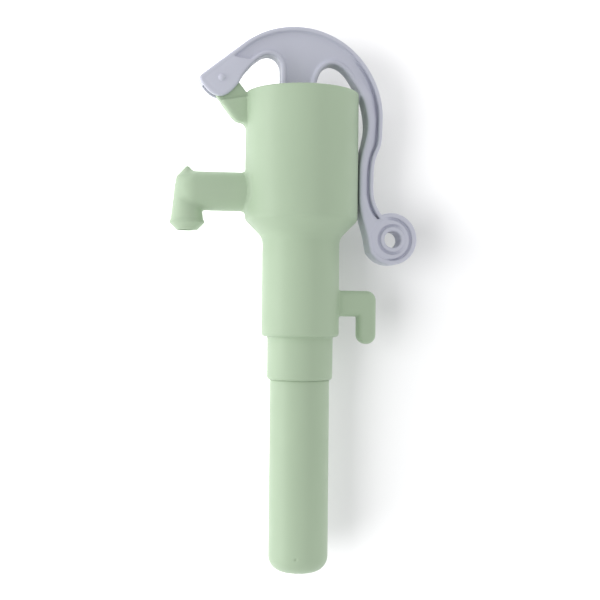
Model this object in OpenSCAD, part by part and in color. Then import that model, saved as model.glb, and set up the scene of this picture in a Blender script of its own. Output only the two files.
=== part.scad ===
// Toy lift pump: an open-topped green casing with a spout, a hook and a pump barrel below it,
// and a grey-lilac lever that lifts a piston rod. +Z points up along the barrel, the origin is
// at the middle of the barrel's flat foot, the spout points to -X and the grip hangs at +X.

/* [Casing] */
// Outer radius of the head at its open rim
head_r = 44; // [43.6:0.1:44.2]
// Height of the open rim above the foot
rim_z = 370; // [369:0.5:371]
// Outer radius of the neck under the shoulder
neck_r = 30; // [29.5:0.1:31]
// Height of the step under the neck
neck_foot_z = 181; // [180:0.5:182]
// Outer radius of the sleeve that holds the barrel
sleeve_r = 25.4; // [25.2:0.1:26]
// Lower end of the sleeve
sleeve_foot_z = 147.2; // [146:0.1:149]
// Wall thickness of the green mouldings
wall = 2.8; // [2.5:0.1:3]

/* [Barrel] */
// Outer radius of the barrel that shows
barrel_r = 23; // [22.8:0.1:23.4]
// Bore radius of the barrel, in which the piston runs
bore_r = 20; // [19.9:0.05:20.1]
// Rounding radius of the foot
foot_round_r = 12; // [10:0.5:13]
// Number of inlet holes in the foot
inlet_holes = 8; // [5:1:9]

/* [Spout and hook] */
// Outer radius of the horizontal spout pipe
pipe_r = 15; // [14:0.1:15.5]
// Height of the spout pipe's axis
pipe_z = 292.2; // [291:0.1:293]
// Distance of the nozzle's axis from the barrel's axis
nozzle_x = 88.7; // [87.5:0.1:90]
// Radius of the outlet in the nozzle's mouth
outlet_r = 6.2; // [5.8:0.1:6.5]
// Depth of the hook across the casing
hook_depth = 14; // [10:1:18]

/* [Lever] */
// Depth of the grip and its ring, front to back
lever_w = 20; // [19:0.5:21]
// Depth of the arch and its two forked ends, front to back
arch_w = 15; // [14.5:0.5:16]
// Depth of the recess between the lever's rims, on both faces
recess_d = 3; // [2:0.5:3.5]
// Width of the rims round the web
rim_w = 3.2; // [2.6:0.1:3.4]
// Radius of the hanging hole in the ring
ring_hole_r = 6.6; // [6:0.1:7]
// Radius of both pins
pin_r = 3; // [2.8:0.1:3]

/* [Hidden] */
$fn = 96;

// Colours
green = [0.69, 0.77, 0.66];
lilac = [0.79, 0.80, 0.85];
white = [0.92, 0.92, 0.90];
rubber = [0.20, 0.20, 0.21];
steel = [0.70, 0.71, 0.73];

// Overshoot of cutting shapes
eps = 1;
// Radial clearance of a turning or sliding shaft in its hole
run_gap = 0.08;

// Fit of the barrel in the sleeve
socket_r = 22.6;
gasket_t = 1.6;
ledge_z = neck_foot_z + 3;
ledge_top_z = ledge_z + 3;
floor_t = 3;
inlet_r = 1.6;
inlet_ring_r = 7;
step_round_r = 2.5;
sleeve_round_r = 3;
rim_round_r = 1;

// Shoulder between neck and head: concave fillet, cone at 45 degrees, convex fillet
shoulder_z = 252.5;
shoulder_in_r = 12;
shoulder_out_r = 6;
cone_a = 45;
cone_bore_rise = 7;
head_foot_r = head_r - 0.15;

// Spout
pipe_bore_r = 11.5;
spigot_r = 13.5;
spigot_in = 4;
pipe_root_x = 38;
flare = 3.5;
flare_in = 3;
dome_x = 83;
nozzle_top_r = 8.7;
nozzle_low_r = 12.3;
nozzle_foot_z = 262;
nozzle_foot_r = 8.1;
nozzle_peak_z = 312;
nozzle_tip_r = 1.2;
nozzle_tip_flat = 0.5;
collar_r = 13.5;
collar_low_z = 267.4;
collar_high_z = 268.8;
taper_low_z = 271;
throat_r = 5.6;
outlet_depth = 16;

// Hook
hook_low_z = 197;
hook_high_z = 217.1;
hook_in_x = 44.8;
hook_out_x = 59.4;
hook_end_z = 182.9;
hook_corner_r = 7.5;
hook_root = 1.5;

// Lever pivot on the casing's lug, and link pin on the barrel's axis at rest
pivot = [-63.6, 378.9];
link = [0, 346.5];
// The lug is a thin tongue between the lever's cheeks, on a thicker gusset below them
lug_t = 7;
gusset_t = 13;
lug_eye_r = 6.8;
cheek_gap = lug_t + 0.6;
gusset_top = [[-70, 360.8], [-42, 366]];
gusset_low_z = 335;
// Where the lug's eye meets its upper and its lower edge
lug_upper_a = 51.3;
lug_lower_a = 193.2;

// Lever outline
arch_c = [-4.9, 353.8];
arch_r = 67.5;
ring_c = [70.3, 257.9];
ring_r = 20.3;
hole_c = [71.2, 257.5];
recess_r = 1.2;
// Edge of the solid pad round the pivot
pad_edge = [[-40, 394], [-50.3, 395.1], [-56, 396.6], [-66, 402]];
pad_low_z = 350;
pad_left_x = -90;
// Corners, seen from the pivot, of the room that the lug needs over the whole swing
lug_room = [[4.6, 5.7], [14.5, -2.1], [22, -12], [8, -30], [-18, -22], [-15.4, -10],
  [-13.5, -4.3], [-5.5, 4.8]];
// The ring's web lies just under its rim, between a groove inside the rim and one round the boss
ring_web_d = 0.8;
groove_w = 2;
groove_d = 2.6;
rim_groove_c = [69.2, 257.4];
rim_groove_r = 16.4;
boss_groove_r = 10.8;
// The lever grows deeper from the arch down to the grip, to the right of grip_x
grip_x = 25;
thin_z = 385;
thick_z = 352;
lug_gap = 0.5;
link_eye_r = 8;
stem_w = 50;
stem_h = 40;
stem_end_z = 366;
rod_pocket_z = 363;

// Rod head: a plate with a level slot that lets the link pin wander sideways
rod_r = 4;
rod_head_t = 8;
rod_head_r = 7.8;
slot_r = 3.8;
slot_x0 = -1;
slot_x1 = 8.8;
rod_gap = 0.5;

// Foot valve, from the barrel's floor up
strainer_z = 12;
strainer_t = 1.6;
seat_z = strainer_z + strainer_t;
strainer_rows = 3;
strainer_pitch = 4.8;
strainer_hole_r = 1.4;
seat_top_z = seat_z + 10;
seat_bore_r = 4;
seat_bevel = 5.6;
ball_r = 7;
ball_z = seat_z + 10.7;
cage_r = 13;
cage_bore_r = 10.5;
cage_top_z = seat_top_z + 18;
cage_top_hole_r = 5;
cage_t = 2.4;
cage_window_w = 12;
cage_window_h = 9.6;
cage_window_z = seat_top_z + cage_t + 1.4;

// Piston at the bottom of its stroke
piston_z = 52;
piston_top_z = piston_z + 14;
piston_r = bore_r - 0.3;
port_r = 2.4;
port_ring_r = 10.5;
seal_wire_r = 1.1;
seal_gap = 0.05;
groove_h = 2.6;
groove_drop = 1.3;
seat_seal_z = seat_z + 4.9;
piston_seal_z = piston_z + 6.5;
flap_r = 14.5;
flap_t = 1.4;
flap_gap = 0.1;
flap_bore_r = rod_r + 0.3;
stop_z = piston_top_z + 4.4;
stop_t = 2;
stop_r = 9;
stop_notch_r = 1.8;
screw_r = 2;
screw_head_r = 4;
screw_head_h = 2.4;
screw_depth = 14;
screw_gap = 0.5;
drive_w = 1;

// Rod guide in the top of the neck
neck_in_r = neck_r - wall;
guide_z = 244;
guide_h = 10;
guide_hub_r = 7;
guide_hoop_t = 2.4;
guide_spoke_t = 3;
guide_spoke_h = 7;

// Pins and caps
head_h = 1.5;
cap_r = 5;
cap_step_r = 4;
cap_t = 2;
cap_step_t = 1;

function arc(c, r, a0, a1, n = 24) =
  [for (i = [0:n]) let (a = a0 + (a1 - a0) * i / n) [c[0] + r * cos(a), c[1] + r * sin(a)]];

// Smooth curve through p[1] .. p[last - 1]; the end points only set the end directions
function curve_at(a, b, c, d, t) =
  0.5 * (2 * b + (c - a) * t + (2 * a - 5 * b + 4 * c - d) * t * t
  + (3 * b - a - 3 * c + d) * t * t * t);
function curve(p, n = 3) = concat(
  [for (i = [1:len(p) - 3]) for (k = [0:n - 1]) curve_at(p[i - 1], p[i], p[i + 1], p[i + 2], k / n)],
  [p[len(p) - 2]]);

// Extrudes a front-view outline, drawn in X and Z, from y0 back to y1
module plate(y0, y1) {
  translate([0, y1, 0]) rotate([90, 0, 0]) linear_extrude(y1 - y0) children();
}

// Cylinder along Y through the front-view point c
module cross_pin(c, r, y0, y1) {
  translate([c[0], y1, c[1]]) rotate([90, 0, 0]) cylinder(r = r, h = y1 - y0);
}

module tube(r_out, r_in, z0, z1) {
  difference() {
    translate([0, 0, z0]) cylinder(r = r_out, h = z1 - z0);
    translate([0, 0, z0 - eps]) cylinder(r = r_in, h = z1 - z0 + 2 * eps);
  }
}

module ring_of(count, r) {
  for (i = [0:count - 1]) rotate(360 * i / count) translate([r, 0, 0]) children();
}

module o_ring(r_out, z) {
  translate([0, 0, z]) rotate_extrude()
    translate([r_out - seal_wire_r, 0]) circle(seal_wire_r, $fn = 32);
}

// Casing

module casing_envelope() {
  cone_x = neck_r + shoulder_in_r * (1 - cos(cone_a));
  cone_z = shoulder_z + shoulder_in_r * sin(cone_a);
  top_x = head_foot_r - shoulder_out_r * (1 - cos(cone_a));
  top_z = cone_z + (top_x - cone_x) / tan(cone_a);
  out_c = [head_foot_r - shoulder_out_r, top_z + shoulder_out_r * sin(cone_a)];
  rotate_extrude() polygon(concat(
    [[0, sleeve_foot_z]],
    arc([sleeve_r - sleeve_round_r, sleeve_foot_z + sleeve_round_r], sleeve_round_r, -90, 0, 8),
    [[sleeve_r, neck_foot_z]],
    arc([neck_r - step_round_r, neck_foot_z + step_round_r], step_round_r, -90, 0, 8),
    arc([neck_r + shoulder_in_r, shoulder_z], shoulder_in_r, 180, 180 - cone_a, 12),
    arc(out_c, shoulder_out_r, -cone_a, 0, 10),
    arc([head_r - rim_round_r, rim_z - rim_round_r], rim_round_r, 0, 90, 6),
    [[0, rim_z]]));
}

module casing_bore() {
  head_in_r = head_r - wall;
  cone_bore_z = shoulder_z + cone_bore_rise;
  rotate_extrude() polygon([
    [0, sleeve_foot_z - eps], [socket_r, sleeve_foot_z - eps], [socket_r, ledge_z],
    [bore_r, ledge_z], [bore_r, ledge_top_z], [neck_in_r, ledge_top_z],
    [neck_in_r, cone_bore_z], [head_in_r, cone_bore_z + (head_in_r - neck_in_r) / tan(cone_a)],
    [head_in_r, rim_z + eps], [0, rim_z + eps]]);
}

function on_eye(a) = pivot + lug_eye_r * [cos(a), sin(a)];

module lug_outline() {
  translate(pivot) circle(lug_eye_r);
  polygon(concat(
    [on_eye(lug_upper_a), [-49.6, 376.4], [-44.1, 369.2],
      [-42.4, 367], [-42.4, 341]],
    curve([[-42, 338], [-43.7, 342], [-46.5, 345.4], [-50.5, 346.5], [-54.5, 349.1],
      [-60.6, 356.8], [-67.5, 365.8], [-72, 372]]),
    [on_eye(lug_lower_a)]));
}

module hook_outline() {
  end_r = (hook_out_x - hook_in_x) / 2;
  polygon(concat(
    [[neck_r - hook_root, hook_low_z], [hook_in_x, hook_low_z]],
    arc([hook_in_x + end_r, hook_end_z], end_r, 180, 360),
    arc([hook_out_x - hook_corner_r, hook_high_z - hook_corner_r], hook_corner_r, 0, 90, 12),
    [[neck_r - hook_root, hook_high_z]]));
}

module pump_body() {
  color(green) difference() {
    union() {
      casing_envelope();
      plate(-lug_t / 2, lug_t / 2) lug_outline();
      plate(-gusset_t / 2, gusset_t / 2) intersection() {
        lug_outline();
        polygon(concat(gusset_top, [[gusset_top[1][0], gusset_low_z], [gusset_top[0][0], gusset_low_z]]));
      }
      plate(-hook_depth / 2, hook_depth / 2) hook_outline();
    }
    casing_bore();
    cross_pin(pivot, pin_r + run_gap, -lug_t, lug_t);
    along_pipe(head_r + eps) cylinder(r = spigot_r, h = head_r + eps - pipe_root_x);
  }
}

// Spout: a pipe with a domed end, a tapered nozzle with a peaked top and a bevelled mouth

// Puts a shape that runs along +Z on the spout pipe's axis, starting at -x and running to the casing
module along_pipe(x) {
  translate([-x, 0, pipe_z]) rotate([0, 90, 0]) children();
}

module nozzle() {
  translate([-nozzle_x, 0, 0]) rotate_extrude() polygon([
    [0, nozzle_foot_z], [nozzle_foot_r, nozzle_foot_z], [collar_r, collar_low_z],
    [collar_r, collar_high_z], [nozzle_low_r, taper_low_z],
    [nozzle_top_r, nozzle_peak_z - nozzle_top_r], [nozzle_tip_r, nozzle_peak_z - nozzle_tip_r],
    [0, nozzle_peak_z - nozzle_tip_r + nozzle_tip_flat]]);
}

module spout() {
  color(green) difference() {
    union() {
      difference() {
        union() {
          along_pipe(dome_x) cylinder(r = pipe_r, h = dome_x - pipe_root_x);
          along_pipe(dome_x) sphere(pipe_r);
          along_pipe(head_r + flare_in) cylinder(r1 = pipe_r, r2 = pipe_r + flare, h = 2 * flare_in);
          nozzle();
        }
        casing_envelope();
      }
      along_pipe(head_r + eps) cylinder(r = spigot_r, h = spigot_in);
    }
    along_pipe(dome_x) cylinder(r = pipe_bore_r, h = dome_x);
    along_pipe(dome_x) sphere(pipe_bore_r);
    translate([-nozzle_x, 0, nozzle_foot_z - eps]) cylinder(r = outlet_r, h = outlet_depth + eps);
    translate([-nozzle_x, 0, nozzle_foot_z]) cylinder(r = throat_r, h = pipe_z - nozzle_foot_z);
  }
}

// Barrel and foot valve

module lower_tube() {
  top_z = ledge_z - gasket_t;
  round_x = barrel_r - foot_round_r;
  color(green) difference() {
    rotate_extrude() polygon(concat(
      [[0, 0]],
      arc([round_x, foot_round_r], foot_round_r, -90, 0, 16),
      [[barrel_r, sleeve_foot_z], [socket_r, sleeve_foot_z], [socket_r, top_z], [bore_r, top_z]],
      arc([round_x, foot_round_r], bore_r - round_x, 0, -90, 16),
      [[0, foot_round_r + round_x - bore_r]]));
    ring_of(inlet_holes, inlet_ring_r) translate([0, 0, -eps]) cylinder(r = inlet_r, h = floor_t + 2 * eps);
  }
}

module tube_gasket() {
  color(rubber) tube(socket_r, bore_r, ledge_z - gasket_t, ledge_z);
}

module inlet_strainer() {
  color(white) difference() {
    translate([0, 0, strainer_z]) cylinder(r = bore_r, h = strainer_t);
    for (row = [1:strainer_rows]) ring_of(6 * row, strainer_pitch * row)
      translate([0, 0, strainer_z - eps]) cylinder(r = strainer_hole_r, h = strainer_t + 2 * eps, $fn = 32);
  }
}

module foot_valve_seat() {
  groove_r = bore_r - 2 * seal_wire_r;
  groove_z = seat_seal_z - groove_drop;
  color(white) rotate_extrude() polygon([
    [seat_bore_r, seat_z], [bore_r, seat_z], [bore_r, groove_z], [groove_r, groove_z],
    [groove_r, groove_z + groove_h], [bore_r, groove_z + groove_h], [bore_r, seat_top_z],
    [seat_bore_r + seat_bevel, seat_top_z], [seat_bore_r, seat_top_z - seat_bevel]]);
}

module foot_valve_seal() {
  color(rubber) o_ring(bore_r, seat_seal_z);
}

module foot_valve_ball() {
  color(rubber) translate([0, 0, ball_z]) sphere(ball_r);
}

module foot_valve_cage() {
  color(white) difference() {
    union() {
      translate([0, 0, seat_top_z]) cylinder(r = bore_r, h = cage_t);
      translate([0, 0, seat_top_z]) cylinder(r = cage_r, h = cage_top_z - seat_top_z);
    }
    translate([0, 0, seat_top_z - eps]) cylinder(r = cage_bore_r, h = cage_top_z - cage_t - seat_top_z + eps);
    translate([0, 0, seat_top_z]) cylinder(r = cage_top_hole_r, h = cage_top_z - seat_top_z + eps);
    ring_of(4, cage_r) translate([0, 0, cage_window_z + cage_window_h / 2])
      cube([cage_window_w, cage_window_w, cage_window_h], center = true);
  }
}

// Piston set

module piston() {
  groove_r = bore_r - 2 * seal_wire_r - 2 * seal_gap;
  groove_z = piston_seal_z - groove_drop;
  bevel = 1;
  color(white) difference() {
    rotate_extrude() polygon([
      [screw_r, piston_z], [piston_r - bevel, piston_z], [piston_r, piston_z + bevel],
      [piston_r, groove_z], [groove_r, groove_z], [groove_r, groove_z + groove_h],
      [piston_r, groove_z + groove_h], [piston_r, piston_top_z - bevel],
      [piston_r - bevel, piston_top_z], [screw_r, piston_top_z]]);
    ring_of(6, port_ring_r) translate([0, 0, piston_z - eps])
      cylinder(r = port_r, h = piston_top_z - piston_z + 2 * eps);
  }
}

module piston_seal() {
  color(rubber) o_ring(bore_r - seal_gap, piston_seal_z);
}

module piston_valve() {
  z0 = piston_top_z + flap_gap;
  color(rubber) tube(flap_r, flap_bore_r, z0, z0 + flap_t);
}

module valve_stop() {
  color(white) difference() {
    tube(stop_r, rod_r, stop_z, stop_z + stop_t);
    ring_of(6, stop_r) translate([0, 0, stop_z - eps]) cylinder(r = stop_notch_r, h = stop_t + 2 * eps);
  }
}

module piston_screw() {
  head_z = piston_z - screw_head_h;
  shank_h = piston_top_z + screw_depth - screw_gap - piston_z;
  color(steel) difference() {
    union() {
      translate([0, 0, head_z]) cylinder(r = screw_head_r, h = screw_head_h);
      translate([0, 0, piston_z]) cylinder(r = screw_r, h = shank_h);
    }
    // cross drive
    for (a = [0, 90]) rotate(a) translate([0, 0, head_z])
      cube([5 * drive_w, drive_w, 2 * drive_w], center = true);
  }
}

module slot_outline(r) {
  for (x = [slot_x0, slot_x1]) translate([x, link[1]]) circle(r);
  translate([slot_x0, link[1] - r]) square([slot_x1 - slot_x0, 2 * r]);
}

module piston_rod() {
  color(white) difference() {
    union() {
      translate([0, 0, piston_top_z]) cylinder(r = rod_r, h = link[1] - slot_r - eps - piston_top_z);
      plate(-rod_head_t / 2, rod_head_t / 2) slot_outline(rod_head_r);
    }
    plate(-rod_head_t, rod_head_t) slot_outline(slot_r);
    translate([0, 0, piston_top_z - eps]) cylinder(r = screw_r, h = screw_depth + eps);
  }
}

module rod_guide() {
  color(white) difference() {
    union() {
      tube(neck_in_r, neck_in_r - guide_hoop_t, guide_z, guide_z + guide_h);
      translate([0, 0, guide_z]) cylinder(r = guide_hub_r, h = guide_h);
      ring_of(3, 0) translate([0, -guide_spoke_t / 2, guide_z])
        cube([neck_in_r - guide_hoop_t / 2, guide_spoke_t, guide_spoke_h]);
    }
    translate([0, 0, guide_z - eps]) cylinder(r = rod_r + run_gap, h = guide_h + 2 * eps);
  }
}

// Lever

module lever_outline() {
  polygon(concat(
    // rounded tip, straight back and the big arch
    curve([[-76.4, 371.3], [-78.8, 374.3], [-80.6, 378.2], [-79.2, 381], [-74.3, 384.7]]),
    arc(arch_c, arch_r, 130, -2, 44),
    // outer edge of the swan-neck grip
    curve([[63, 356], [62.2, 338], [61, 330], [58, 322.5], [56.2, 315], [55.6, 305], [55.7, 293],
      [57.2, 286], [59.6, 280.8], [62.2, 277], [66, 273]]),
    arc(ring_c, ring_r, 112, -148, 36),
    // inner edge of the grip, up into the arch over the casing's rim
    curve([[54, 245], [52, 252], [50.9, 258], [49.3, 264.5], [46.9, 272.5], [45.3, 280], [44.5, 287],
      [44.4, 295], [44.4, 303], [44.7, 315], [46.2, 324.5], [48.4, 333], [50.1, 342], [50.2, 350],
      [49, 358], [47.2, 365], [44.7, 371], [41.3, 376.3], [36.9, 382.9], [33.2, 387.5],
      [28.5, 391.2], [23, 393], [17.9, 391.5], [13.6, 387.2], [10.8, 380.5], [9.3, 372],
      [9, 364]]),
    // stem down to the link pin and up again
    arc(link, link_eye_r, 0, -180, 24),
    curve([[-9, 340], [-10.5, 353], [-14.5, 363], [-17, 373], [-17.3, 384], [-18, 391], [-21.6, 396.4],
      [-27.3, 398.3], [-33, 396.5], [-38.1, 392.6], [-42, 388.5], [-45.4, 384.4],
      [-48.2, 380.2], [-50.2, 376.2], [-53.2, 372.3], [-57.2, 368.2], [-62, 365.4],
      [-67.2, 365.2], [-72.4, 367.5], [-76.4, 371.3], [-78.8, 374.3]])));
}

// Everything of the lever's stem below a height
module below(z) {
  translate([-stem_w / 2, z - stem_h]) square([stem_w, stem_h]);
}

module inside_rims() {
  offset(r = recess_r, $fn = 24) offset(delta = -rim_w - recess_r) lever_outline();
}

module ring_face() {
  translate(rim_groove_c) circle(rim_groove_r);
}

module web_recess() {
  pad_top = pad_edge[len(pad_edge) - 1];
  difference() {
    inside_rims();
    ring_face();
    // solid pad round the pivot, with a slanted edge
    polygon(concat([[pad_left_x, pad_low_z], [pad_edge[0][0], pad_low_z]], pad_edge,
      [[pad_left_x, pad_top[1]]]));
    // solid cheeks at the stem's end
    below(stem_end_z);
  }
}

module ring_web() {
  intersection() {
    inside_rims();
    difference() {
      ring_face();
      translate(hole_c) circle(boss_groove_r);
    }
  }
}

module round_groove(c, r) {
  translate(c) difference() {
    circle(r + groove_w / 2);
    circle(r - groove_w / 2);
  }
}

module ring_grooves() {
  intersection() {
    inside_rims();
    union() {
      round_groove(rim_groove_c, rim_groove_r);
      round_groove(hole_c, boss_groove_r);
    }
  }
}

// Slab beside the grip's side of the lever, drawn in depth and height
module beside_grip(points) {
  translate([grip_x, 0, 0]) rotate([90, 0, 90]) linear_extrude(3 * grip_x) polygon(points);
}

// What is cut from one face over the arch and the forked ends
module arch_trim() {
  top_z = arch_c[1] + arch_r + eps;
  translate([-4 * grip_x, arch_w / 2, link[1] - 2 * link_eye_r])
    cube([5 * grip_x, lever_w / 2, top_z - link[1] + 2 * link_eye_r]);
  beside_grip([[arch_w / 2, thin_z], [lever_w / 2, thick_z], [lever_w / 2 + eps, thick_z],
    [lever_w / 2 + eps, top_z], [arch_w / 2, top_z]]);
}

// The recess in one face, which is as deep in the grip as in the arch
module face_recess() {
  floor_low = lever_w / 2 - recess_d;
  floor_high = arch_w / 2 - recess_d;
  difference() {
    plate(floor_high, lever_w / 2 + eps) web_recess();
    beside_grip([[0, thin_z], [floor_high, thin_z], [floor_low, thick_z],
      [floor_low, ring_c[1] - ring_r], [0, ring_c[1] - ring_r]]);
  }
}

module pivot_pocket() {
  translate(pivot) circle(lug_eye_r + lug_gap);
  translate(pivot) polygon(lug_room);
}

module handle() {
  color(lilac) difference() {
    plate(-lever_w / 2, lever_w / 2) lever_outline();
    for (side = [0, 1]) mirror([0, side, 0]) {
      arch_trim();
      face_recess();
      plate(lever_w / 2 - ring_web_d, lever_w / 2 + eps) ring_web();
      plate(lever_w / 2 - groove_d, lever_w / 2 + eps) ring_grooves();
    }
    plate(-cheek_gap / 2, cheek_gap / 2) pivot_pocket();
    plate(-rod_head_t / 2 - rod_gap, rod_head_t / 2 + rod_gap)
      below(rod_pocket_z);
    cross_pin(pivot, pin_r, -lever_w, lever_w);
    cross_pin(link, pin_r, -lever_w, lever_w);
    cross_pin(hole_c, ring_hole_r, -lever_w, lever_w);
  }
}

// Pins and push-on caps

module capped_pin(c) {
  dome_r = (pin_r * pin_r + head_h * head_h) / (2 * head_h);
  cross_pin(c, pin_r, -arch_w / 2, arch_w / 2 + cap_t);
  intersection() {
    translate([c[0], -arch_w / 2 - head_h + dome_r, c[1]]) sphere(dome_r);
    cross_pin(c, pin_r, -arch_w / 2 - head_h - eps, -arch_w / 2);
  }
}

module push_cap(c) {
  difference() {
    union() {
      cross_pin(c, cap_r, arch_w / 2, arch_w / 2 + cap_t);
      cross_pin(c, cap_step_r, arch_w / 2, arch_w / 2 + cap_t + cap_step_t);
    }
    cross_pin(c, pin_r, arch_w / 2 - eps, arch_w / 2 + cap_t);
  }
}

module pivot_pin() {
  color(lilac) capped_pin(pivot);
}

module pivot_cap() {
  color(lilac) push_cap(pivot);
}

module link_pin() {
  color(lilac) capped_pin(link);
}

module link_cap() {
  color(lilac) push_cap(link);
}

pump_body();
spout();
lower_tube();
tube_gasket();
inlet_strainer();
foot_valve_seat();
foot_valve_seal();
foot_valve_ball();
foot_valve_cage();
piston();
piston_seal();
piston_valve();
valve_stop();
piston_screw();
piston_rod();
rod_guide();
handle();
pivot_pin();
pivot_cap();
link_pin();
link_cap();
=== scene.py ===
import math
import bpy
import numpy as np
from mathutils import Matrix, Vector


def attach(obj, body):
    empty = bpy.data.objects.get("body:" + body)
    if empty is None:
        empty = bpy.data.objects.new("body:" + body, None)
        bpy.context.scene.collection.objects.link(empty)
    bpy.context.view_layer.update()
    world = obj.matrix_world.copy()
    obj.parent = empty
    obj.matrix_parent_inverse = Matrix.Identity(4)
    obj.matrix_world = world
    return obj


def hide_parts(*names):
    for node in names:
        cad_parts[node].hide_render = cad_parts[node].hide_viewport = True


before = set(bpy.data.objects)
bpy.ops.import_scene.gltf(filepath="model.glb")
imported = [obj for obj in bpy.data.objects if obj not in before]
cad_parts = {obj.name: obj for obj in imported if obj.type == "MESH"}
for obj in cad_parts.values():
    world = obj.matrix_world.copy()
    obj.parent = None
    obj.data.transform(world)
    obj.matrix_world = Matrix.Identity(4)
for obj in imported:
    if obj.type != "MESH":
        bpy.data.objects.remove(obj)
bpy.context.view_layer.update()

# Shapes are worked out in millimetres, in the frame's own axes, and made in metres.
# X runs from the spout to the grip, Y away from the viewer, Z up the pump's axis.
MM = 0.001

QUICK_RATIO = 1
CASING_STEP, SPOUT_STEP, BARREL_STEP, LEVER_STEP = 1.161, 0.63, 0.855, 0.648

# The casing, spout and barrel, with sizes shared with the frame
HEAD_R, RIM_Z, NECK_R, NECK_FOOT_Z = 44.0, 370.0, 30.0, 181.0
SLEEVE_R, SLEEVE_FOOT_Z, WALL = 25.4, 147.2, 2.8
SHOULDER_Z, SHOULDER_IN_R, SHOULDER_OUT_R = 252.5, 12.0, 6.0
LEDGE_Z = NECK_FOOT_Z + 3.0
SOCKET_R, GASKET_T = 22.6, 1.6
BARREL_R, BORE_R, FOOT_ROUND_R = 23.0, 20.0, 12.0
INLET_HOLES, INLET_R, INLET_RING_R, INLET_TOP_Z = 8, 1.6, 7.0, 8.0
GATE_PLACE, GATE_R = (-5.2, -22.4, 12.8), 0.9
PIPE_R, PIPE_Z, PIPE_BORE_R, SPIGOT_R, DOME_X = 15.0, 292.2, 11.5, 13.5, 83.0
NOZZLE_X, NOZZLE_FOOT_Z, NOZZLE_TOP_R, NOZZLE_LOW_R = 88.7, 262.0, 8.7, 12.3
OUTLET_R, OUTLET_DEPTH, THROAT_R = 6.2, 16.0, 5.6
FLARE, FLARE_EDGE, FLARE_IN_X, HOLE_IN_X = 3.4, 0.3, -20.0, -30.0
FILLET, FILLET_REACH, FILLET_SUNK, NOZZLE_FILLET = 3.2, 3.1, 0.9, 1.6
SPIGOT_IN_X, SPIGOT_OUT_X = -41.0, -50.0
HOOK_DEPTH, HOOK_LOW_Z, HOOK_HIGH_Z = 14.0, 197.0, 217.1
HOOK_IN_X, HOOK_OUT_X, HOOK_END_Z, HOOK_CORNER_R, HOOK_ROUND = 44.8, 59.4, 182.9, 7.5, 4.2
PIVOT, LINK = (-63.6, 378.9), (0.0, 346.5)
PIN_R, RUN_GAP, LUG_T, GUSSET_T, LUG_EYE_R = 3.0, 0.08, 7.0, 13.0, 6.8
GUSSET_BEVEL, LEDGE_PLACE, LEDGE_TILT = 1.7, (-70.0, 360.8), 0.186

# The lever, with its rims, recess and grooves
LUG_GAP, LUG_SIDE_GAP, LEVER_ROUND = 0.5, 0.3, 1.8
LEVER_W, ARCH_W, RECESS_D, RIM_W = 20.0, 15.0, 3.0, 3.2
GRIP_X, THIN_Z, THICK_Z = 25.0, 385.0, 352.0
GRIP_GROOVE_W, GRIP_GROOVE_D, ARCH_DRAFT, RUN_OUT = 1.8, 6.0, 0.35, 0.5
GRIP_DEEP, GRIP_SLOPE_W, GRIP_LOW_X, ARCH_FOOT_Z, ARCH_BLEND_H = 3.4, 5.0, 2.2, 372.0, 25.0
GRIP_Z = (275.0, 283.0, 293.0, 305.0, 320.0, 330.0, 350.0, 371.0, 392.0)
GRIP_MIDDLE_X = (54.0, 51.4, 50.0, 50.0, 51.5, 54.7, 56.5, 53.0, 41.0)
ARCH_C, ARCH_R = (-4.9, 353.8), 67.5
RING_C, RING_R, HOLE_C, HOLE_R = (70.3, 257.9), 20.3, (71.2, 257.5), 6.6
RING_WEB_D, GROOVE_W, GROOVE_D = 0.8, 2.0, 2.6
RIM_GROOVE_C, RIM_GROOVE_R, BOSS_GROOVE_R = (69.2, 257.4), 16.4, 10.8
LINK_EYE_R, STEM_END_Z, ROD_POCKET_Z, ROD_SLOT_W, STEM_SPACE = 8.0, 366.0, 363.0, 9.0, 25.0
GRIP_OUTER_W, RING_CLEAR, GROOVE_LEAST = 6.5, 1.5, 0.05
# Where the grip's slope and the grooves fade, as a place and the length that it takes
SLOPE_FADE, SLOPE_NARROW = (270.0, 12.0), (292.0, -16.0)
GRIP_GROOVE_FADE, RIM_GROOVE_FADE, BOSS_GROOVE_FADE = (22.0, 36.0), (62.0, 10.0), (84.0, -12.0)


# Outlines

def arc(centre, radius, start, end, n=24):
    """Points on an arc, with its angles in degrees."""
    angles = np.radians(np.linspace(start, end, n + 1))
    return [(centre[0] + radius * math.cos(a), centre[1] + radius * math.sin(a)) for a in angles]


def curve(points, n=8):
    """Smooth curve through all but the first and last point, which only set its end directions."""
    p = [np.array(q, float) for q in points]
    out = []
    for a, b, c, d in zip(p, p[1:], p[2:], p[3:]):
        for k in range(n):
            t = k / n
            out.append(0.5 * (2 * b + (c - a) * t + (2 * a - 5 * b + 4 * c - d) * t ** 2
                              + (3 * b - a - 3 * c + d) * t ** 3))
    return [tuple(q) for q in out] + [tuple(p[-2])]


def from_pivot(radius, angle):
    return (PIVOT[0] + radius * math.cos(math.radians(angle)),
            PIVOT[1] + radius * math.sin(math.radians(angle)))


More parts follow.
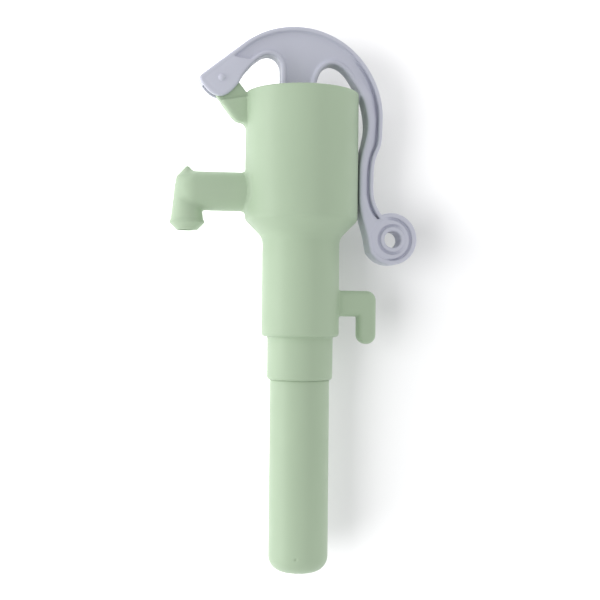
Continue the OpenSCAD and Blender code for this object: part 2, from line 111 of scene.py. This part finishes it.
def lever_outline():
    return (
        curve([(-76.4, 371.3), (-78.8, 374.3), (-80.6, 378.2), (-79.2, 381), (-74.3, 384.7)])
        + arc(ARCH_C, ARCH_R, 130, -2, 90)
        + curve([(63, 356), (62.2, 338), (61, 330), (58, 322.5), (56.2, 315), (55.6, 305),
                 (55.7, 293), (57.2, 286), (59.6, 280.8), (62.2, 277), (66, 273)])
        + arc(RING_C, RING_R, 112, -148, 60)
        + curve([(54, 245), (52, 252), (50.9, 258), (49.3, 264.5), (46.9, 272.5), (45.3, 280),
                 (44.5, 287), (44.4, 295), (44.4, 303), (44.7, 315), (46.2, 324.5), (48.4, 333),
                 (50.1, 342), (50.2, 350), (49, 358), (47.2, 365), (44.7, 371), (41.3, 376.3),
                 (36.9, 382.9), (33.2, 387.5), (28.5, 391.2), (23, 393), (17.9, 391.5), (13.6, 387.2),
                 (10.8, 380.5), (9.3, 372), (9, 364)])
        + arc(LINK, LINK_EYE_R, 0, -180, 24)
        + curve([(-9, 340), (-10.5, 353), (-14.5, 363), (-17, 373), (-17.3, 384), (-18, 391),
                 (-21.6, 396.4), (-27.3, 398.3), (-33, 396.5), (-38.1, 392.6), (-42, 388.5),
                 (-45.4, 384.4), (-48.2, 380.2), (-50.2, 376.2), (-53.2, 372.3), (-57.2, 368.2),
                 (-62, 365.4), (-67.2, 365.2), (-72.4, 367.5), (-76.4, 371.3), (-78.8, 374.3)]))


def pad_outline():
    """The solid pad round the pivot, with its slanted edge."""
    return [(-90, 350), (-40, 350), (-40, 394), (-50.3, 395.1), (-56, 396.6), (-66, 402), (-90, 402)]


def pocket_outline():
    """Room in the lever for the lug, over the whole swing."""
    around = [(4.6, 5.7), (14.5, -2.1), (22, -12), (8, -30), (-18, -22), (-15.4, -10),
              (-13.5, -4.3), (-5.5, 4.8)]
    return [(PIVOT[0] + x, PIVOT[1] + z) for x, z in around]


def lug_outline():
    return (
        [from_pivot(LUG_EYE_R, 51.3), (-49.6, 376.4), (-44.1, 369.2), (-42.4, 367), (-42.4, 341)]
        + curve([(-42, 338), (-43.7, 342), (-46.5, 345.4), (-50.5, 346.5), (-54.5, 349.1),
                 (-60.6, 356.8), (-67.5, 365.8), (-72, 372)])
        + arc(PIVOT, LUG_EYE_R, 193.2, 51.3, 20))


def hook_outline():
    end_r = (HOOK_OUT_X - HOOK_IN_X) / 2
    corner = (HOOK_OUT_X - HOOK_CORNER_R, HOOK_HIGH_Z - HOOK_CORNER_R)
    return (
        [(NECK_R - 2, HOOK_LOW_Z), (HOOK_IN_X, HOOK_LOW_Z)]
        + arc((HOOK_IN_X + end_r, HOOK_END_Z), end_r, 180, 360)
        + arc(corner, HOOK_CORNER_R, 0, 90)
        + [(NECK_R - 2, HOOK_HIGH_Z)])


def casing_profile():
    """The casing as a solid of revolution, as radius and height."""
    foot_r = HEAD_R - 0.15
    slope = 1 - math.cos(math.radians(45))
    cone = (NECK_R + SHOULDER_IN_R * slope, SHOULDER_Z + SHOULDER_IN_R * math.sin(math.radians(45)))
    top_x = foot_r - SHOULDER_OUT_R * slope
    top_z = cone[1] + top_x - cone[0]
    out_c = (foot_r - SHOULDER_OUT_R, top_z + SHOULDER_OUT_R * math.sin(math.radians(45)))
    return (
        [(-5, SLEEVE_FOOT_Z)]
        + arc((SLEEVE_R - 3, SLEEVE_FOOT_Z + 3), 3, -90, 0)
        + arc((SLEEVE_R + 1, NECK_FOOT_Z - 1), 1, 180, 90, 8)
        + arc((NECK_R - 2.5, NECK_FOOT_Z + 2.5), 2.5, -90, 0)
        + arc((NECK_R + SHOULDER_IN_R, SHOULDER_Z), SHOULDER_IN_R, 180, 135)
        + arc(out_c, SHOULDER_OUT_R, -45, 0)
        + arc((HEAD_R - 1, RIM_Z - 1), 1, 0, 90)
        + [(-5, RIM_Z)])


def casing_bore_profile():
    head_in, neck_in = HEAD_R - WALL, NECK_R - WALL
    cone_z = SHOULDER_Z + 7
    return [(-5, SLEEVE_FOOT_Z - 9), (SOCKET_R, SLEEVE_FOOT_Z - 9), (SOCKET_R, LEDGE_Z),
            (BORE_R, LEDGE_Z), (BORE_R, LEDGE_Z + 3), (neck_in, LEDGE_Z + 3), (neck_in, cone_z),
            (head_in, cone_z + head_in - neck_in), (head_in, RIM_Z + 9), (-5, RIM_Z + 9)]


def nozzle_profile():
    peak_z = NOZZLE_FOOT_Z + 50
    return ([(-5, NOZZLE_FOOT_Z), (8.1, NOZZLE_FOOT_Z), (13.2, 267.3)]
            + arc((12.6, 268.1), 0.9, -45, 45, 8)
            + curve([(13.5, 268.5), (13.2, 269), (12.5, 270.4), (12.2, 272.5), (12.0, 275)], 6)
            + arc((NOZZLE_TOP_R - 3, peak_z - NOZZLE_TOP_R - 1.8), 3, 5, 45, 10)
            + [(1.6, peak_z - 1.7)]
            + arc((0, peak_z - 3.2), 2.2, 45, 90, 8)
            + [(-5, peak_z - 1)])


def barrel_profile():
    top_z = LEDGE_Z - GASKET_T
    round_x = BARREL_R - FOOT_ROUND_R
    return (
        [(-5, 0)]
        + arc((round_x, FOOT_ROUND_R), FOOT_ROUND_R, -90, 0, 32)
        + [(BARREL_R, SLEEVE_FOOT_Z), (SOCKET_R, SLEEVE_FOOT_Z), (SOCKET_R, top_z), (BORE_R, top_z)]
        + arc((round_x, FOOT_ROUND_R), BORE_R - round_x, 0, -90, 32)
        + [(-5, FOOT_ROUND_R + round_x - BORE_R)])


# Signed distances, in millimetres, negative inside. The last number of both, cut and join is a
# radius in millimetres.

class Flat:
    """Signed distance to a closed outline, looked up on a fine grid."""

    def __init__(self, points, margin=8.0, step=0.3):
        p = np.array(points, np.float32)
        self.low = p.min(axis=0) - margin
        self.step = step
        count = np.ceil((p.max(axis=0) + margin - self.low) / step).astype(int) + 2
        u = (self.low[0] + step * np.arange(count[0], dtype=np.float32))[:, None]
        v = (self.low[1] + step * np.arange(count[1], dtype=np.float32))[None, :]
        nearest = np.full(count, np.inf, np.float32)
        inside = np.zeros(count, bool)
        for (ax, ay), (bx, by) in zip(p, np.roll(p, -1, axis=0)):
            ex, ey = bx - ax, by - ay
            length2 = ex * ex + ey * ey
            if length2 < 1e-12:
                continue
            t = np.clip(((u - ax) * ex + (v - ay) * ey) / length2, 0, 1)
            nearest = np.minimum(nearest, (u - ax - t * ex) ** 2 + (v - ay - t * ey) ** 2)
            if ay != by:
                crossing = (ay > v) != (by > v)
                inside ^= crossing & (u < ax + (v - ay) * ex / ey)
        self.values = np.sqrt(nearest) * np.where(inside, -1, 1)

    def __call__(self, u, v):
        rows, cols = self.values.shape
        gu = np.clip((u - self.low[0]) / self.step, 0, rows - 1.001)
        gv = np.clip((v - self.low[1]) / self.step, 0, cols - 1.001)
        i, j = gu.astype(np.int32), gv.astype(np.int32)
        s, t = gu - i, gv - j
        w = self.values
        low = w[i, j] * (1 - s) + w[i + 1, j] * s
        high = w[i, j + 1] * (1 - s) + w[i + 1, j + 1] * s
        return low * (1 - t) + high * t


def join(a, b, fillet):
    """Union with a rounded inner corner."""
    u, v = np.maximum(fillet - a, 0), np.maximum(fillet - b, 0)
    return np.maximum(fillet, np.minimum(a, b)) - np.hypot(u, v)


def both(a, b, rounding):
    """Intersection with a rounded outer edge."""
    u, v = np.maximum(rounding + a, 0), np.maximum(rounding + b, 0)
    return np.minimum(-rounding, np.maximum(a, b)) + np.hypot(u, v)


def cut(a, b, rounding):
    return both(a, -b, rounding)


def ring_distance(x, z, centre, radius):
    return np.hypot(x - centre[0], z - centre[1]) - radius


def ramp(value, start, length):
    """Rises from 0 to 1 from the start on, over a length that may be negative."""
    return np.clip((value - start) / length, 0, 1)


class Casing:
    """The green casing: head, shoulder, neck and sleeve, with the pivot lug and the bucket hook."""
    low, high = (-76, -46, 145), (62, 46, 388)

    def __init__(self):
        self.solid = Flat(casing_profile())
        self.bore = Flat(casing_bore_profile())
        self.lug = Flat(lug_outline())
        self.hook = Flat(hook_outline())

    def __call__(self, x, y, z):
        r = np.hypot(x, y)
        lug = self.lug_shape(x, np.abs(y), z)
        hook = both(self.hook(x, z), np.abs(y) - HOOK_DEPTH / 2, HOOK_ROUND)
        head = self.solid(r, z)
        across = np.hypot(y, z - PIPE_Z)
        pipe = np.maximum(across - PIPE_R, x - FLARE_IN_X)
        flare = np.maximum(join(head, pipe, FLARE), across - PIPE_R - FLARE)
        flare = np.maximum(flare, head - FLARE + FLARE_EDGE)
        d = join(np.minimum(head, flare), lug, 0.8)
        d = join(d, hook, 1.5)
        d = cut(d, self.bore(r, z), 0.9)
        d = cut(d, ring_distance(x, z, PIVOT, PIN_R + RUN_GAP), 0.3)
        hole = np.maximum(across - SPIGOT_R, x - HOLE_IN_X)
        return np.maximum(d, -hole)

    def lug_shape(self, x, depth, z):
        """A thin tongue on a thicker gusset, which has a bevelled edge."""
        edge = self.lug(x, z)
        tongue = both(edge, depth - LUG_T / 2, 0.8)
        gusset = both(edge, depth - GUSSET_T / 2, 0.5)
        bevel = (edge + depth - GUSSET_T / 2 + GUSSET_BEVEL) * math.sqrt(0.5)
        ledge = z - LEDGE_PLACE[1] - (x - LEDGE_PLACE[0]) * LEDGE_TILT
        ledge = ledge / math.hypot(1, LEDGE_TILT)
        return np.minimum(tongue, both(both(gusset, bevel, 0.5), ledge, 0.5))


class Spout:
    """The pipe with its domed end, the nozzle, and the fillet where the pipe meets the head."""
    low, high = (-105, -24, 259), (-38, 24, 315)

    def __init__(self):
        self.nozzle = Flat(nozzle_profile(), step=0.15)
        self.head = Flat(casing_profile())

    def __call__(self, x, y, z):
        across = np.hypot(y, z - PIPE_Z)
        along = np.maximum(-DOME_X - x, 0)
        pipe = np.hypot(across, along) - PIPE_R
        head = self.head(np.hypot(x, y), z)
        d = np.maximum(join(pipe, head, FILLET), pipe - FILLET_REACH)
        # the foot of the fillet is sunk in the head's wall
        d = np.maximum(d, -head - FILLET_SUNK)
        spigot = np.maximum(x - SPIGOT_IN_X, SPIGOT_OUT_X - x)
        d = np.minimum(d, np.maximum(across - SPIGOT_R, spigot))
        r = np.hypot(x + NOZZLE_X, y)
        d = join(d, self.nozzle(r, z), NOZZLE_FILLET)
        duct = np.maximum(np.hypot(across, along) - PIPE_BORE_R, x)
        d = cut(d, duct, 0.4)
        outlet = np.maximum(r - OUTLET_R, z - NOZZLE_FOOT_Z - OUTLET_DEPTH)
        throat = np.maximum(r - THROAT_R, z - PIPE_Z)
        return cut(d, np.minimum(outlet, throat), 0.7)


class Barrel:
    """The lower tube with its rounded foot and inlet holes."""
    low, high = (-25, -25, -2), (25, 25, 185)

    def __init__(self):
        self.wall = Flat(barrel_profile(), step=0.2)

    def __call__(self, x, y, z):
        d = self.wall(np.hypot(x, y), z)
        for i in range(INLET_HOLES):
            a = 2 * math.pi * i / INLET_HOLES
            hole = np.hypot(x - INLET_RING_R * math.cos(a), y - INLET_RING_R * math.sin(a)) - INLET_R
            d = cut(d, np.maximum(hole, z - INLET_TOP_Z), 0.3)
        gx, gy, gz = GATE_PLACE
        gate_mark = np.sqrt((x - gx) ** 2 + (y - gy) ** 2 + (z - gz) ** 2) - GATE_R
        return cut(d, gate_mark, 0.2)


class Lever:
    """The lever: rims round a thin web, a ring with a boss, and forked ends for the lug and the rod."""
    low, high = (-83, -12, 236), (93, 12, 423)

    def __init__(self):
        self.outline = Flat(lever_outline(), step=0.25)
        self.pad = Flat(pad_outline())
        self.pocket = Flat(pocket_outline())

    def __call__(self, x, y, z):
        depth = np.abs(y)
        edge = self.outline(x, z)
        grip = ramp(z, THIN_Z, THICK_Z - THIN_Z) * (x > GRIP_X)
        face = (ARCH_W + (LEVER_W - ARCH_W) * grip) / 2
        body = both(edge, depth - face, LEVER_ROUND)
        ring_face = ring_distance(x, z, RIM_GROOVE_C, RIM_GROOVE_R)
        ring = np.minimum(ring_face, ring_distance(x, z, RING_C, RING_R - RIM_W))
        # the recess has sloping sides in the arch and upright ones in the grip
        draft = ARCH_DRAFT * (1 - grip)
        side = (edge + RIM_W + draft * (face - depth)) / np.hypot(1, draft)
        recess = both(side, -self.pad(x, z), 1.0)
        stem_end = np.maximum(z - STEM_END_Z, np.abs(x) - STEM_SPACE)
        recess = both(recess, -stem_end, 1.0)
        recess = both(recess, -ring, 0.5)
        recess = both(recess, face - self.recess_depth(x, z) - depth, 1.2)
        d = cut(body, recess, 0.8)
        d = cut(d, self.grip_groove(x, z, edge, ring, depth - face), 0.3)
        boss = ring_distance(x, z, HOLE_C, BOSS_GROOVE_R)
        ring_web = both(both(edge + RIM_W, ring_face, 0.5), -boss, 0.5)
        d = cut(d, np.maximum(ring_web, face - RING_WEB_D - depth), 0.4)
        d = cut(d, self.groove(ring_face, edge, depth - face, ramp(x, *RIM_GROOVE_FADE)), 0.4)
        d = cut(d, self.groove(boss, edge, depth - face, ramp(x, *BOSS_GROOVE_FADE)), 0.4)
        lug_room = np.minimum(ring_distance(x, z, PIVOT, LUG_EYE_R + LUG_GAP), self.pocket(x, z))
        d = cut(d, np.maximum(lug_room, depth - LUG_T / 2 - LUG_SIDE_GAP), 0.4)
        rod_room = np.maximum(z - ROD_POCKET_Z, np.abs(x) - STEM_SPACE)
        d = cut(d, np.maximum(rod_room, depth - ROD_SLOT_W / 2), 0.4)
        return cut(d, ring_distance(x, z, HOLE_C, HOLE_R), 1.2)

    def recess_depth(self, x, z):
        """The recess falls away towards the outer rim of the grip, and is level in the arch."""
        middle = np.interp(z, GRIP_Z, GRIP_MIDDLE_X)
        across = ramp(x - middle, -GRIP_SLOPE_W, GRIP_SLOPE_W + GRIP_LOW_X)
        # near the ring only its outer side is low
        sloped = GRIP_DEEP * across ** (2 + 4 * ramp(z, *SLOPE_NARROW)) * ramp(z, *SLOPE_FADE)
        share = ramp(z, ARCH_FOOT_Z + ARCH_BLEND_H, -ARCH_BLEND_H) * (x > GRIP_X)
        deep = RECESS_D + (sloped - RECESS_D) * share
        # where it runs out, its floor rises clear of the face
        return deep - np.maximum(RUN_OUT - deep, 0)

    def grip_groove(self, x, z, edge, ring, above):
        """A narrow groove beside the grip's outer rim, which gets shallow up in the arch."""
        middle = np.interp(z, GRIP_Z, GRIP_MIDDLE_X)
        from_arch = ring_distance(x, z, ARCH_C, ARCH_R - GRIP_OUTER_W)
        outer = np.where(z > ARCH_C[1], from_arch, x - middle)
        across = np.abs(edge + RIM_W + GRIP_GROOVE_W / 2) - GRIP_GROOVE_W / 2
        across = np.maximum(np.maximum(across, -outer), RING_CLEAR - ring)
        deep = GRIP_GROOVE_D * ramp(x, *GRIP_GROOVE_FADE)
        return both(across, -above - deep, 0.4)

    def groove(self, circle, edge, above, fade):
        """A round-bottomed groove along a circle, between the rims, that gets shallow to one side."""
        deep = GROOVE_D * np.maximum(fade, GROOVE_LEAST)
        across = np.maximum(np.abs(circle) - GROOVE_W / 2, edge + RIM_W)
        return both(across, -above - deep, 0.5)


# Meshes from signed distances

def grid_surface(shape, step):
    """Points and quads of the surface where the shape's distance is zero, on a grid of that step."""
    low, high = np.array(shape.low, float), np.array(shape.high, float)
    axes = [np.arange(a, b + step, step, dtype=np.float32) for a, b in zip(low, high)]
    x, y, z = axes[0][:, None, None], axes[1][None, :, None], axes[2][None, None, :]
    f = np.empty([len(a) for a in axes], np.float32)
    slab = max(1, int(1.5e6 // (f.shape[1] * f.shape[2])))
    for i in range(0, f.shape[0], slab):
        block = np.broadcast_arrays(x[i:i + slab], y, z)
        f[i:i + slab] = shape(*block)
    inside = f < 0
    corners = [(a, b, c) for a in (0, 1) for b in (0, 1) for c in (0, 1)]
    nx, ny, nz = (n - 1 for n in f.shape)
    count = np.zeros((nx, ny, nz), np.int8)
    for a, b, c in corners:
        count += inside[a:a + nx, b:b + ny, c:c + nz]
    cells = np.argwhere((count > 0) & (count < 8))
    index = np.full((nx, ny, nz), -1, np.int64)
    index[tuple(cells.T)] = np.arange(len(cells))
    value = {k: f[cells[:, 0] + k[0], cells[:, 1] + k[1], cells[:, 2] + k[2]] for k in corners}
    total = np.zeros((len(cells), 3))
    hits = np.zeros(len(cells))
    for k in corners:
        for axis in range(3):
            if k[axis] == 1:
                continue
            far = tuple(1 if i == axis else k[i] for i in range(3))
            p, q = value[k], value[far]
            crossed = (p < 0) != (q < 0)
            place = np.tile(np.array(k, float), (len(cells), 1))
            place[:, axis] = np.where(crossed, p / np.where(crossed, p - q, 1), 0)
            total += place * crossed[:, None]
            hits += crossed
    points = low + (cells + total / hits[:, None]) * step
    quads = []
    for axis in range(3):
        lower = [slice(1, None)] * 3
        upper = [slice(1, None)] * 3
        lower[axis], upper[axis] = slice(0, -1), slice(1, None)
        before, after = inside[tuple(lower)], inside[tuple(upper)]
        for wanted, flip in ((before & ~after, False), (~before & after, True)):
            at = np.argwhere(wanted)
            for other in range(3):
                if other != axis:
                    at[:, other] += 1
            u, v = [i for i in range(3) if i != axis]
            ring = []
            for du, dv in ((-1, -1), (0, -1), (0, 0), (-1, 0)):
                cell = at.copy()
                cell[:, u] += du
                cell[:, v] += dv
                ring.append(index[tuple(cell.T)])
            face = np.stack(ring, axis=1)
            if flip != (axis == 1):
                face = face[:, ::-1]
            quads.append(face)
    return points, np.concatenate(quads)


def settle(shape, points, rounds=2, reach=0.05):
    """Moves the points on to the surface along its slope."""
    for _ in range(rounds):
        x, y, z = points.T
        f = shape(x, y, z)
        slope = np.stack([shape(x + reach, y, z) - shape(x - reach, y, z),
                          shape(x, y + reach, z) - shape(x, y - reach, z),
                          shape(x, y, z + reach) - shape(x, y, z - reach)], axis=1) / (2 * reach)
        size = np.maximum((slope ** 2).sum(axis=1), 0.25)
        points = points - np.clip(f, -0.4, 0.4)[:, None] * slope / size[:, None]
    return points


def solid(name, shape, step, body, nodes, material):
    """A piece made from a shape, which rides on a body and stands for the named nodes."""
    points, quads = grid_surface(shape, step * QUICK_RATIO)
    points = settle(shape, points)
    mesh = bpy.data.meshes.new(name)
    mesh.from_pydata((points * MM).tolist(), [], quads.tolist())
    mesh.update()
    mesh.polygons.foreach_set("use_smooth", [True] * len(mesh.polygons))
    piece = bpy.data.objects.new(name, mesh)
    bpy.context.scene.collection.objects.link(piece)
    piece.data.materials.append(material)
    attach(piece, body)
    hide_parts(*nodes)
    return piece


# Materials

# Noise scales per metre: flow marks, uneven gloss and the spark-eroded grain
FLOW_SCALE, GLOSS_SCALE, GRAIN_SCALE = 22, 60, 1400
NOISE_LOW, NOISE_HIGH = 0.3, 0.7
GRAIN_STRENGTH, PLASTIC_IOR = 0.35, 1.49


def plastic(name, colour, roughness, grain=0.012, drift=0.03, shine=0.47):
    """Satin moulded plastic: a fine spark-eroded grain, slight flow marks and uneven gloss."""
    material = bpy.data.materials.new(name)
    material.use_nodes = True
    nodes, links = material.node_tree.nodes, material.node_tree.links
    shader = nodes["Principled BSDF"]
    place = nodes.new("ShaderNodeTexCoord")

    def noise(scale, detail, stretch=(1, 1, 1)):
        mapping = nodes.new("ShaderNodeMapping")
        mapping.inputs["Scale"].default_value = stretch
        texture = nodes.new("ShaderNodeTexNoise")
        texture.inputs["Scale"].default_value = scale
        texture.inputs["Detail"].default_value = detail
        links.new(place.outputs["Object"], mapping.inputs["Vector"])
        links.new(mapping.outputs["Vector"], texture.inputs["Vector"])
        return texture.outputs["Fac"]

    def spread(value, low, high):
        node = nodes.new("ShaderNodeMapRange")
        node.inputs["From Min"].default_value = NOISE_LOW
        node.inputs["From Max"].default_value = NOISE_HIGH
        node.inputs["To Min"].default_value = low
        node.inputs["To Max"].default_value = high
        links.new(value, node.inputs["Value"])
        return node.outputs["Result"]

    tint = nodes.new("ShaderNodeMix")
    tint.data_type = "RGBA"
    tint.inputs["A"].default_value = [c * (1 - drift) for c in colour] + [1]
    tint.inputs["B"].default_value = [min(1, c * (1 + drift)) for c in colour] + [1]
    links.new(spread(noise(FLOW_SCALE, 3, (1, 1, 0.4)), 0, 1), tint.inputs["Factor"])
    links.new(tint.outputs["Result"], shader.inputs["Base Color"])
    gloss = spread(noise(GLOSS_SCALE, 4), roughness - 0.05, roughness + 0.06)
    links.new(gloss, shader.inputs["Roughness"])
    bump = nodes.new("ShaderNodeBump")
    bump.inputs["Strength"].default_value = GRAIN_STRENGTH
    bump.inputs["Distance"].default_value = grain * MM
    links.new(noise(GRAIN_SCALE, 2), bump.inputs["Height"])
    links.new(bump.outputs["Normal"], shader.inputs["Normal"])
    shader.inputs["Specular IOR Level"].default_value = shine
    shader.inputs["IOR"].default_value = PLASTIC_IOR
    return material


def linear(red, green, blue):
    """A screen colour, 0 to 255, as linear light."""
    return [(c / 255 / 12.92) if c / 255 <= 0.04045 else ((c / 255 + 0.055) / 1.055) ** 2.4
            for c in (red, green, blue)]


GREEN = plastic("green_plastic", linear(176, 196, 169), 0.44, shine=0.32)
LILAC = plastic("lilac_plastic", linear(201, 203, 217), 0.42, shine=0.40)
WHITE = plastic("white_plastic", linear(236, 236, 231), 0.38)
RUBBER = plastic("black_rubber", linear(52, 52, 54), 0.62, grain=0.02)
STEEL = plastic("plated_steel", linear(184, 186, 190), 0.28, grain=0.006)
STEEL.node_tree.nodes["Principled BSDF"].inputs["Metallic"].default_value = 1.0

NODE_MATERIALS = {
    LILAC: ["pivot_pin", "pivot_cap", "link_pin", "link_cap"],
    WHITE: ["inlet_strainer", "foot_valve_seat", "foot_valve_cage", "piston", "valve_stop",
            "piston_rod", "rod_guide"],
    RUBBER: ["tube_gasket", "foot_valve_seal", "foot_valve_ball", "piston_seal", "piston_valve"],
    STEEL: ["piston_screw"],
}


def dress_nodes():
    """Gives the frame's own nodes that stay their finish."""
    for material, names in NODE_MATERIALS.items():
        for name in names:
            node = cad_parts[name]
            node.data.materials.clear()
            node.data.materials.append(material)


# Stage, lights and camera

SHEET_SIZE, SHEET_PLACE, SHEET_COLOUR = 14, (0, 0.0465, 0.2), (0.80, 0.80, 0.81, 1)
# The sheet's glow along its own axes: where it starts and ends in metres, and its strength there. This
# glow is painted light: it is stronger on the sheet's left side and higher up, where it lights away the
# pump's shadow.
SHEET_PAINTED_GLOWS = (("X", 0.020, -0.008, 0.03, 0.48), ("Y", 0.05, 0.11, 0.0, 0.15))
WORLD_LIGHT = 0.80
KEY_PLACE, KEY_SIZE, KEY_POWER = (-1.57, -0.32, 0.21), (0.2, 2.4), 12.0
SHEET_LIGHT_PLACE, SHEET_LIGHT_SIZE, SHEET_LIGHT_POWER = (-1.41, -1.18, -0.1), (1.5, 1.5), 45.0
LIGHT_AIM = (0, 0, 0.21)
# The camera: its place in millimetres, its angles in radians and its focal length in pixels
EYE_PLACE = (-141.456, -843.894, 192.288)
SWING, RISE, LEAN = math.radians(9.5), 0.02, math.radians(0.57)
FOCAL_PX, FRAME_PX, SENSOR = 1100.0, 600.0, 36.0


def backdrop():
    """The white sheet behind the object, which keeps the shadow and isn't there from behind. Its glow is
    painted light, stronger on its left side and higher up.
    """
    bpy.ops.mesh.primitive_plane_add(size=SHEET_SIZE, location=SHEET_PLACE, rotation=(math.pi / 2, 0, 0))
    sheet = bpy.context.object
    sheet.name = "backdrop"
    material = bpy.data.materials.new("white_sheet")
    material.use_nodes = True
    nodes, links = material.node_tree.nodes, material.node_tree.links
    nodes.clear()
    output = nodes.new("ShaderNodeOutputMaterial")
    paper = nodes.new("ShaderNodeBsdfDiffuse")
    paper.inputs["Color"].default_value = SHEET_COLOUR
    # painted light: the sheet glows for camera and glossy rays, more on its left side and higher up,
    # which washes out the shadow there
    glow = nodes.new("ShaderNodeEmission")
    place = nodes.new("ShaderNodeTexCoord")
    axes = nodes.new("ShaderNodeSeparateXYZ")
    links.new(place.outputs["Object"], axes.inputs[0])
    strength = nodes.new("ShaderNodeMath")
    for slot, (axis, start, end, low, high) in enumerate(SHEET_PAINTED_GLOWS):
        fade = nodes.new("ShaderNodeMapRange")
        fade.interpolation_type = "SMOOTHSTEP"
        fade.inputs["From Min"].default_value = start
        fade.inputs["From Max"].default_value = end
        fade.inputs["To Min"].default_value = low
        fade.inputs["To Max"].default_value = high
        links.new(axes.outputs[axis], fade.inputs["Value"])
        links.new(fade.outputs["Result"], strength.inputs[slot])
    links.new(strength.outputs[0], glow.inputs["Strength"])
    lit = nodes.new("ShaderNodeAddShader")
    clear = nodes.new("ShaderNodeBsdfTransparent")
    path = nodes.new("ShaderNodeLightPath")
    seen = nodes.new("ShaderNodeMath")
    seen.operation = "MAXIMUM"
    shown = nodes.new("ShaderNodeMixShader")
    facing = nodes.new("ShaderNodeNewGeometry")
    sides = nodes.new("ShaderNodeMixShader")
    links.new(path.outputs["Is Camera Ray"], seen.inputs[0])
    links.new(path.outputs["Is Glossy Ray"], seen.inputs[1])
    links.new(paper.outputs[0], lit.inputs[0])
    links.new(glow.outputs[0], lit.inputs[1])
    links.new(seen.outputs[0], shown.inputs[0])
    links.new(paper.outputs[0], shown.inputs[1])
    links.new(lit.outputs[0], shown.inputs[2])
    links.new(facing.outputs["Backfacing"], sides.inputs[0])
    links.new(shown.outputs[0], sides.inputs[1])
    links.new(clear.outputs[0], sides.inputs[2])
    links.new(sides.outputs[0], output.inputs["Surface"])
    sheet.data.materials.append(material)


def soft_light(name, place, size, power):
    """A white panel of that width and height, aimed at the middle of the pump."""
    light = bpy.data.lights.new(name, "AREA")
    light.shape = "RECTANGLE"
    light.size, light.size_y = size
    light.energy = power
    lamp = bpy.data.objects.new(name, light)
    lamp.location = place
    lamp.rotation_euler = (Vector(LIGHT_AIM) - Vector(place)).to_track_quat("-Z", "Y").to_euler()
    bpy.context.scene.collection.objects.link(lamp)
    return lamp


def lighting():
    """An even white world, a tall panel from the left and a light for the sheet alone."""
    world = bpy.data.worlds.new("studio")
    world.use_nodes = True
    bpy.context.scene.world = world
    nodes, links = world.node_tree.nodes, world.node_tree.links
    sky = nodes["Background"]
    path = nodes.new("ShaderNodeLightPath")
    strength = nodes.new("ShaderNodeMapRange")
    strength.inputs["To Min"].default_value = WORLD_LIGHT
    strength.inputs["To Max"].default_value = 1.0
    links.new(path.outputs["Is Camera Ray"], strength.inputs["Value"])
    links.new(strength.outputs["Result"], sky.inputs["Strength"])
    sky.inputs["Color"].default_value = (1, 1, 1, 1)
    soft_light("key", KEY_PLACE, KEY_SIZE, KEY_POWER)
    # a second panel that only lights the sheet, so that the pump's shadow falls to the right
    sheet_light = soft_light("sheet_light", SHEET_LIGHT_PLACE, SHEET_LIGHT_SIZE, SHEET_LIGHT_POWER)
    sheet_only = bpy.data.collections.new("sheet_only")
    sheet_only.objects.link(bpy.data.objects["backdrop"])
    sheet_light.light_linking.receiver_collection = sheet_only


def camera():
    """The photograph's view: 9.5 degrees round from the left of straight on, slightly from below."""
    level = math.cos(RISE)
    aim = Vector((math.sin(SWING) * level, math.cos(SWING) * level, math.sin(RISE)))
    side = aim.cross(Vector((0, 0, 1))).normalized()
    up = side.cross(aim)
    right = math.cos(LEAN) * side + math.sin(LEAN) * up
    up = right.cross(aim)
    data = bpy.data.cameras.new("camera")
    data.sensor_width = SENSOR
    data.lens = SENSOR * FOCAL_PX / FRAME_PX
    data.clip_start, data.clip_end = 0.05, 50
    eye = bpy.data.objects.new("camera", data)
    place = Vector(EYE_PLACE) * MM
    eye.matrix_world = Matrix((
        (right.x, up.x, -aim.x, place.x),
        (right.y, up.y, -aim.y, place.y),
        (right.z, up.z, -aim.z, place.z),
        (0, 0, 0, 1)))
    bpy.context.scene.collection.objects.link(eye)
    bpy.context.scene.camera = eye
    bpy.context.scene.view_settings.view_transform = "Standard"


camera()
solid("casing_moulding", Casing(), CASING_STEP, "casing", ["pump_body"], GREEN)
solid("spout_moulding", Spout(), SPOUT_STEP, "casing", ["spout"], GREEN)
solid("barrel_moulding", Barrel(), BARREL_STEP, "casing", ["lower_tube"], GREEN)
solid("lever_moulding", Lever(), LEVER_STEP, "lever", ["handle"], LILAC)
dress_nodes()
backdrop()
lighting()
